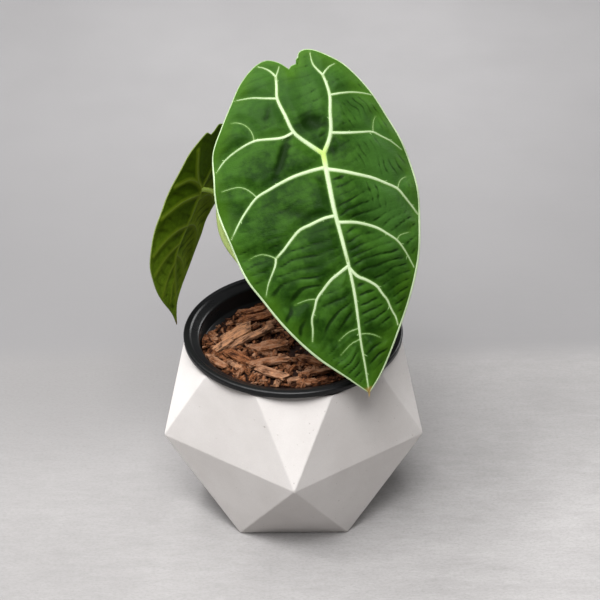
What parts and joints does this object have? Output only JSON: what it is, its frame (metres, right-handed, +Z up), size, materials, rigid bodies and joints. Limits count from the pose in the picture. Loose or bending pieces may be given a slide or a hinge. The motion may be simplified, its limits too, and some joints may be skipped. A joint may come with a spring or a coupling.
{
  "type": "potted alocasia plant in faceted planter",
  "caption": "House plant with two large veined leaves, in a black nursery pot of bark mix set in a faceted concrete planter.",
  "frame": {"origin": "centre of the planter's flat base, on the ground", "axes": "+Z up the pot's axis, -Y towards the front, where the large leaf looks out and down, +X to the right seen from the front"},
  "size_m": [0.148, 0.1382, 0.2524],
  "materials": {
    "concrete": "matt cast concrete with fine pinholes",
    "black_plastic": "satin black plastic",
    "bark": "rough reddish brown bark chips",
    "petiole": "smooth yellow-green stalk",
    "leaf_green": "satin deep green, quilted between the veins",
    "vein_pale": "smooth pale green-white",
    "leaf_underside": "satin olive green leaf back",
    "vein_underside": "smooth yellow-green ribs"
  },
  "bodies": {
    "root": {"planter": "concrete", "nursery_pot": "black_plastic", "bark_mix": "bark", "front_leaf_petiole": "petiole", "front_leaf_blade": "leaf_green", "front_leaf_veins": "vein_pale", "rear_leaf_petiole": "petiole", "rear_leaf_blade": "leaf_underside", "rear_leaf_veins": "vein_underside"}
  },
  "joints": []
}
